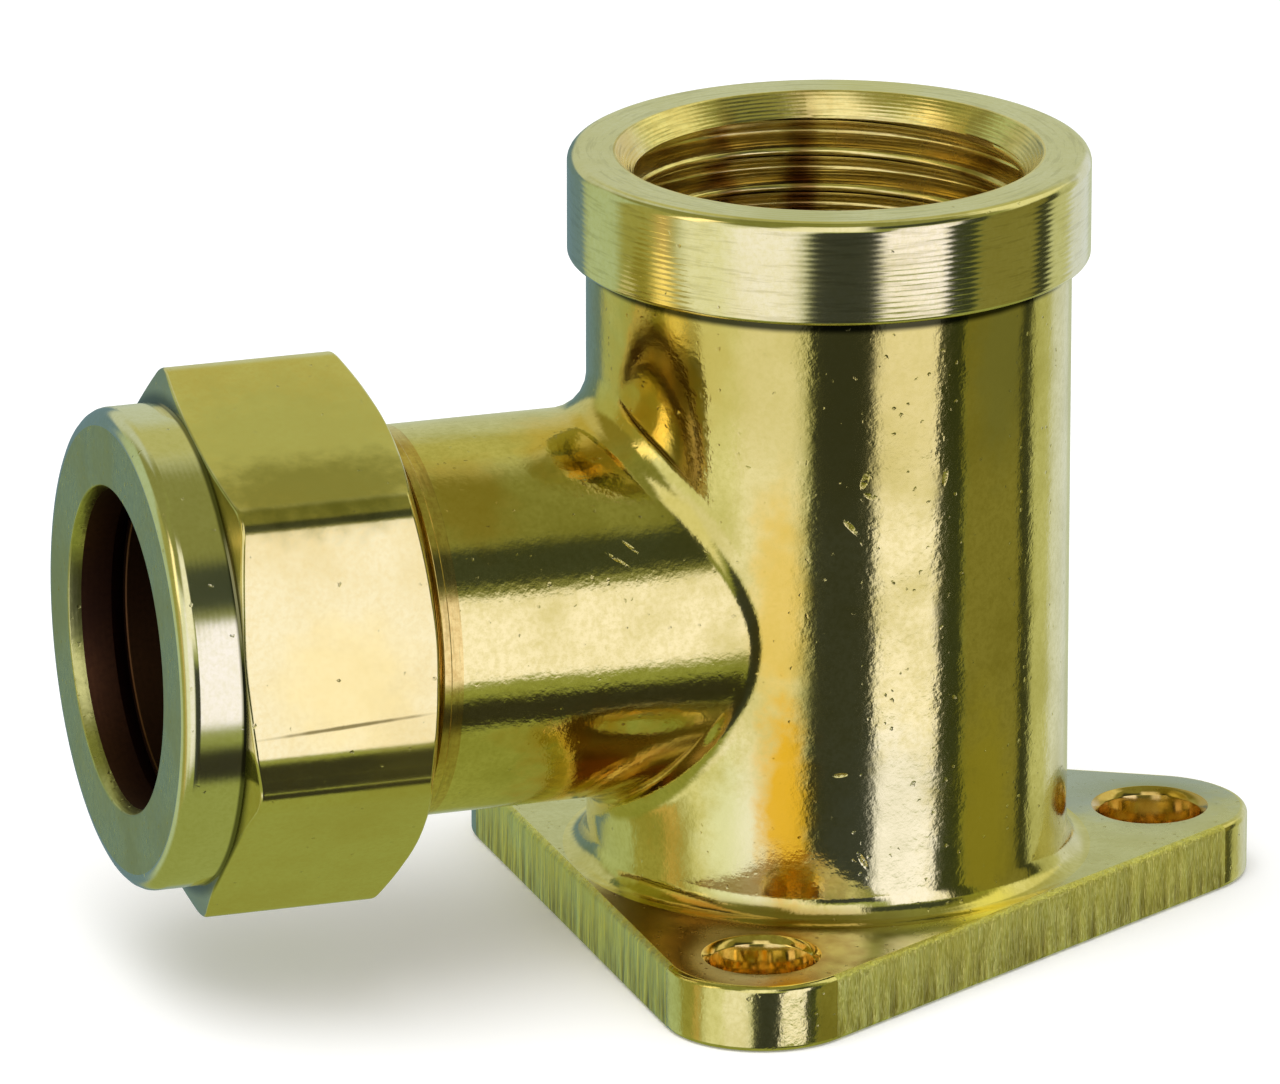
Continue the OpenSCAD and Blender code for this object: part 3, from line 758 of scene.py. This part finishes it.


# Stains and painted light: axis, degrees round, half width, place along, half length, lean, raggedness,
# colour, strength
pressing_stains_and_painted_light = (
    ("barrel", -108, 14, 31.0, 10.0, 0, 0.5, (0.64, 0.54, 0.17), 0.7),
    # Two pale patches low on the barrel: painted highlights.
    ("barrel", -95, 4.0, 7.0, 8.0, 0, 0.8, (0.95, 0.90, 0.62), 0.7),
    ("barrel", -130, 3.0, 6.5, 6.0, 0, 0.8, (0.95, 0.92, 0.62), 0.7),
    ("barrel", -69, 2.4, 7.0, 9.0, 0, 0.8, (0.98, 0.84, 0.20), 0.8),
    ("barrel", -149, 2.0, 28.5, 4.0, 0, 0.7, (0.98, 0.76, 0.26), 0.6),
    ("barrel", -160, 2.0, 28.5, 4.5, 0, 0.9, (0.66, 0.46, 0.10), 0.4),
    ("barrel", -140, 2.4, 30.0, 4.0, 0, 0.9, (0.62, 0.48, 0.12), 0.5),
    ("barrel", -120.5, 2.0, 18.5, 8.5, 0, 0.9, (0.80, 0.55, 0.09), 0.8),
    ("barrel", -119.2, 2.0, 9.0, 7.0, 0, 1.1, (0.80, 0.45, 0.015), 0.95),
    ("barrel", 176, 7.0, 7.5, 5.0, 0, 0.7, (0.98, 0.80, 0.30), 0.3),
    ("barrel", -64, 2.4, 30.0, 7.0, 0, 0.8, (0.60, 0.60, 0.42), 0.6),
    ("branch", -14, 4.0, 13.5, 4.0, 0, 0.8, (0.90, 0.58, 0.10), 0.6),
    ("branch", -36, 4.0, 20.0, 3.0, 0, 1.0, (0.74, 0.46, 0.06), 0.5),
    ("branch", -132, 5.5, 14.3, 4.6, 10, 1.2, (0.80, 0.46, 0.09), 0.8),
    ("branch", -112, 1.4, 16.5, 4.0, 0, 1.2, (0.72, 0.42, 0.04), 0.6),
    # A dark line low on the front of the barrel, where it blends into the plate: painted shade.
    ("barrel", -122, 9.0, 3.3, 0.9, 0, 0.4, (0.36, 0.22, 0.04), 0.7),
    # A dark line all round, just under the collar: painted shade under the step.
    ("barrel", 0, 900, 32.72, 0.46, 0, 0.15, (0.04, 0.04, 0.02), 0.97))
# Nicks: axis, degrees round, place along, half length, half width, lean, depth
pressing_nicks = (
    ("barrel", -100.8, 25.1, 0.55, 0.20, 70, 0.08), ("barrel", -99.4, 24.3, 0.42, 0.16, 155, 0.07),
    ("barrel", -104, 22.8, 0.6, 0.18, 130, 0.08), ("barrel", -81, 24.9, 0.5, 0.14, 80, 0.05),
    ("barrel", -106, 10.5, 0.5, 0.12, 5, 0.05), ("barrel", -101, 6.2, 0.6, 0.18, 120, 0.06),
    ("branch", -60, 13.4, 0.9, 0.11, 52, 0.04), ("branch", -57, 12.6, 0.6, 0.09, 44, 0.04))
pressed_brass = brass(
    "pressed_brass", (0.90, 0.80, 0.40), (0.60, 0.52, 0.15), 0.09, 0.07, tarnish=0.75, pit_share=0.13,
    pit_depth=0.014, wave=0.035, grain=0.0095, stains_and_painted_light=pressing_stains_and_painted_light, nicks=pressing_nicks)
lathe_brass = brass(
    "lathe_brass", (0.91, 0.84, 0.58), (0.78, 0.70, 0.34), 0.10, 0.06, pit_share=0.02, wave=0.004,
    grain=0.0012, lines=0.0042, scoring=0.25,
    stains_and_painted_light=(("barrel", -118, 3.2, 38.1, 0.6, 0, 0.5, (0.70, 0.64, 0.30), 0.7),
             ("barrel", 60, 3.4, 38.1, 0.6, 0, 0.5, (0.84, 0.74, 0.30), 0.6)))
plate_brass = brass(
    "plate_brass", (0.80, 0.76, 0.46), (0.60, 0.55, 0.24), 0.22, 0.14, pit_share=0.3, wave=0.02, grain=0.006,
    # On the plate's face: a pale yellow painted highlight to the front right, a bluish painted reflection on
    # the right, and dark brown painted reflection to the front left.
    stains_and_painted_light=(("barrel", -78, 4.5, 3.2, 9.0, 0, 0.7, (1.0, 0.98, 0.46), 1.0),
             ("barrel", 15, 5.0, 3.2, 9.0, 0, 0.7, (0.46, 0.52, 0.62), 0.8),
             ("barrel", -136, 9.4, 3.2, 9.0, 0, 0.9, (0.32, 0.18, 0.04), 0.92),
             ("barrel", -154, 3.4, 3.2, 9.0, 0, 0.8, (0.15, 0.06, 0.012), 0.9)))
sheared_brass = brass(
    "sheared_brass", (1.0, 0.96, 0.34), (0.98, 0.88, 0.22), 0.30, 0.10, tarnish=0.8, pit_size=0.3,
    pit_share=0.2, pit_depth=0.03, wave=0.03, grain=0.014, streaks=0.24, mottle=0.1)
drilled_brass = brass(
    "drilled_brass", (0.90, 0.72, 0.32), (0.56, 0.36, 0.10), 0.07, 0.10, tarnish=0.8, wave=0.01, grain=0.002)
thread_brass = brass(
    "thread_brass", (1.0, 0.88, 0.46), (0.86, 0.66, 0.26), 0.20, 0.16, tarnish=0.9, wave=0.01, grain=0.006,
    lines=0.006, scoring=0.35,
    # Dark vertical bands on the socket's thread: painted shade.
    stains_and_painted_light=(("barrel", 78, 1.5, 30, 10, 0, 0.7, (0.34, 0.16, 0.06), 0.85),
             ("barrel", 101, 1.2, 30, 10, 0, 0.7, (0.42, 0.22, 0.08), 0.8),
             ("barrel", 120, 1.2, 30, 10, 0, 0.9, (0.60, 0.42, 0.16), 0.6),
             ("barrel", 23, 2.6, 30, 10, 0, 0.7, (0.40, 0.26, 0.08), 0.8)))
# The bores are painted nearly black: painted shade inside the fitting.
bore_painted_shade = brass(
    "bore_painted_shade", (0.11, 0.05, 0.028), (0.06, 0.03, 0.02), 0.5, 0.12, tarnish=0.8, grain=0.003)
corner_brass = brass(
    "corner_brass", (0.90, 0.82, 0.42), (0.62, 0.54, 0.18), 0.12, 0.08, tarnish=0.75, pit_share=0.2,
    wave=0.05, grain=0.012)
ring_brass = brass(
    "ring_brass", (0.88, 0.70, 0.28), (0.52, 0.32, 0.08), 0.14, 0.12, tarnish=1.0, grain=0.003,
    lines=0.0015, scoring=0.3, axis="branch")

elbow = body.make("elbow_body_brass", [pressed_brass, lathe_brass, plate_brass, sheared_brass, drilled_brass,
                                       thread_brass, bore_painted_shade, ring_brass, corner_brass])
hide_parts("elbow_body")
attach(elbow, "elbow")


# Olive
# A plain brass ring, barrel-shaped outside, loose on the pipe until the nut squeezes it.
# It is turned from bar and left bright.
olive_back, olive_front, olive_bore, olive_crown, olive_end = 27.717, 32.917, 7.55, 8.7, 8.05
olive_middle, olive_half = (olive_back + olive_front) / 2, (olive_front - olive_back) / 2
bulge = olive_crown - olive_end
crown_sweep = (olive_half ** 2 + bulge ** 2) / (2 * bulge)
edge_break, end_radius = 0.06, olive_end - 0.05
olive_section = [(olive_bore, olive_back + edge_break), (olive_bore + edge_break, olive_back),
                 (end_radius, olive_back)]
for step in range(13):
    along = olive_back + 2 * olive_half * (0.01 + 0.98 * step / 12)
    crown = olive_crown - crown_sweep + sqrt(crown_sweep ** 2 - (along - olive_middle) ** 2)
    olive_section.append((crown, along))
olive_section += [(end_radius, olive_front), (olive_bore + edge_break, olive_front),
                  (olive_bore, olive_front - edge_break)]
olive_skin = Skin()
olive_skin.join([[out_along_branch(radius, 2 * pi * i / 96, along) for i in range(96)]
                 for radius, along in olive_section + olive_section[:1]], 0)
# The olive is painted nearly black: painted shade where it sits inside the nut.
olive_brass = brass("olive_painted_shade", (0.13, 0.06, 0.03), (0.08, 0.04, 0.02), 0.5, 0.1, lines=0.001,
                    axis="branch")
olive_ring = olive_skin.make("olive_ring", [olive_brass])
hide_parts("olive")
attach(olive_ring, "olive")


# Compression nut
# Turned from hexagon bar: six flats with rounded corners, a chamfer at each end and a round boss.
# Its thread fits the spigot's, and its cone presses the olive.
nut_back, hex_front, nut_front = 23.3, 32.75, 35.7
nut_flat, corner_round, nut_turned = 11.6, 1.8, 12.8
boss_radius, boss_round = 11.5, 0.8
nut_thread_root, nut_mouth, nut_seat = 10.51, 11.01, 31.55
nut_turns = [radians(nut_turned + i) for i in range(360)]
corner_middle = (nut_flat - corner_round) / cos(radians(30))
round_reach = atan2(corner_round / 2, corner_middle + corner_round * cos(radians(30)))


def nut_outline(turn):
    """Distance from the nut's axis to its six-sided outline."""
    off_corner = abs((turn - radians(nut_turned) + radians(30)) % radians(60) - radians(30))
    if off_corner < round_reach:
        aside = corner_middle * sin(off_corner)
        return corner_middle * cos(off_corner) + sqrt(corner_round ** 2 - aside ** 2)
    return nut_flat / cos(radians(30) - off_corner)


def soft_bend(before, corner, after, reach):
    """Points of a small round between two straights that meet in a corner."""
    before, corner, after = Vector(before), Vector(corner), Vector(after)
    start = corner + (before - corner).normalized() * min(reach, (before - corner).length * 0.45)
    end = corner + (after - corner).normalized() * min(reach, (after - corner).length * 0.45)
    return [start.lerp(corner, s).lerp(corner.lerp(end, s), s) for s in (0, 0.08, 0.3, 0.5, 0.7, 0.92, 1)]


front_land = nut_flat - 0.07
hex_columns = []
for turn in nut_turns:
    reach = nut_outline(turn)
    back_edge = nut_back + (reach - nut_flat) * tan(radians(24))
    front_edge = hex_front - (reach - nut_flat) * tan(radians(14))
    back_round, front_round = (nut_flat - 0.14, nut_back), (front_land, hex_front)
    column = [Vector((nut_mouth, nut_back)), Vector(back_round)]
    column += soft_bend(back_round, (reach, back_edge), (reach, back_edge + 1), 0.16)
    column += [Vector((reach, back_edge + 0.25 + (front_edge - back_edge - 0.5) * k / 8)) for k in range(9)]
    column += soft_bend((reach, front_edge - 1), (reach, front_edge), front_round, 0.16)
    column += [Vector(front_round)]
    hex_columns.append([out_along_branch(point.x, turn, point.y) for point in column])
nut = Skin()
nut.join([list(row) for row in zip(*hex_columns)], 0)


def nut_rows(section):
    return [[out_along_branch(radius, turn, along) for turn in nut_turns] for radius, along in section]


face_outside = boss_radius - boss_round - 0.02
nut_bore, bore_lead, lead_end, cone_start, cone_radius = 7.65, 7.85, 35.1, 33.6, 9.7
nut.join(nut_rows(eased((front_land, hex_front, 0), (boss_radius, hex_front + 0.12, 0.09),
                        (boss_radius, nut_front, boss_round), (face_outside, nut_front, 0))), 1)
nut.join(nut_rows(eased((face_outside, nut_front, 0), (bore_lead, nut_front, 0.12),
                        (nut_bore, lead_end, 0))), 3)
nut.join(nut_rows([(nut_bore, lead_end), (nut_bore, cone_start), (cone_radius, nut_seat),
                   (nut_thread_root, nut_seat)]), 2)
thread_back, thread_depth = nut_back + 0.5, 1.12
nut.join(nut_rows([(nut_thread_root, thread_back), (nut_mouth, nut_back)]), 1)
cut_thread(nut, out_along_branch, 2, 360, 70,
           crest_radius=nut_thread_root - thread_depth, root_radius=nut_thread_root, start=thread_back,
           length=nut_seat - thread_back, turned_by=nut_turned, phase=0.8, inside=-1,
           start_radius=nut_thread_root, start_slope=2.6, end_radius=nut_thread_root, end_slope=1.0)
# A dark ring where the hex meets the boss: painted shade in the corner.
painted_corner_shade = ("branch", 0, 900, hex_front + 0.05, 0.22, 0, 0.2, (0.10, 0.10, 0.03), 0.85)
nut_flats_brass = brass(
    "nut_flats_brass", (0.90, 0.82, 0.46), (0.80, 0.64, 0.24), 0.13, 0.10, pit_share=0.05,
    wave=0.018, grain=0.0040, rolled_flat=(nut_turned, nut_flat, 0.60), mottle=0.3,
    stains_and_painted_light=(painted_corner_shade,
             ("branch", -20, 5.0, 28, 9, 0, 0.9, (0.70, 0.68, 0.36), 0.6),
             # A dark band on the upper flat: painted reflection.
             ("branch", -39, 2.6, 28, 9, 0, 0.9, (0.32, 0.29, 0.08), 0.75),
             ("branch", -84, 3.4, 28, 4.5, 0, 0.9, (0.95, 0.80, 0.34), 0.6),
             # A thin dark line along the lower corner of the middle flat: painted reflection.
             ("branch", -93.8, 0.10, 28, 5.2, 2, 0.5, (0.20, 0.16, 0.05), 0.9)))
nut_turned_brass = brass(
    "nut_turned_brass", (0.90, 0.86, 0.66), (0.76, 0.72, 0.42), 0.11, 0.08, pit_share=0.04, wave=0.004,
    grain=0.0012, lines=0.0010, axis="branch", stains_and_painted_light=(painted_corner_shade,))
nut_face_brass = brass(
    "nut_face_brass", (0.70, 0.68, 0.34), (0.44, 0.44, 0.20), 0.24, 0.14, tarnish=0.8, pit_share=0.45,
    wave=0.03, grain=0.013, lines=0.001, axis="branch")
# The nut's inside is painted nearly black: painted shade.
nut_inside_brass = brass(
    "nut_inside_brass", (0.13, 0.055, 0.035), (0.07, 0.03, 0.025), 0.5, 0.1, tarnish=0.8, lines=0.001,
    axis="branch")
nut_piece = nut.make("compression_nut_brass",
                     [nut_flats_brass, nut_turned_brass, nut_inside_brass, nut_face_brass])
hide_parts("compression_nut")
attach(nut_piece, "nut")

scene.view_settings.view_transform = "Standard"
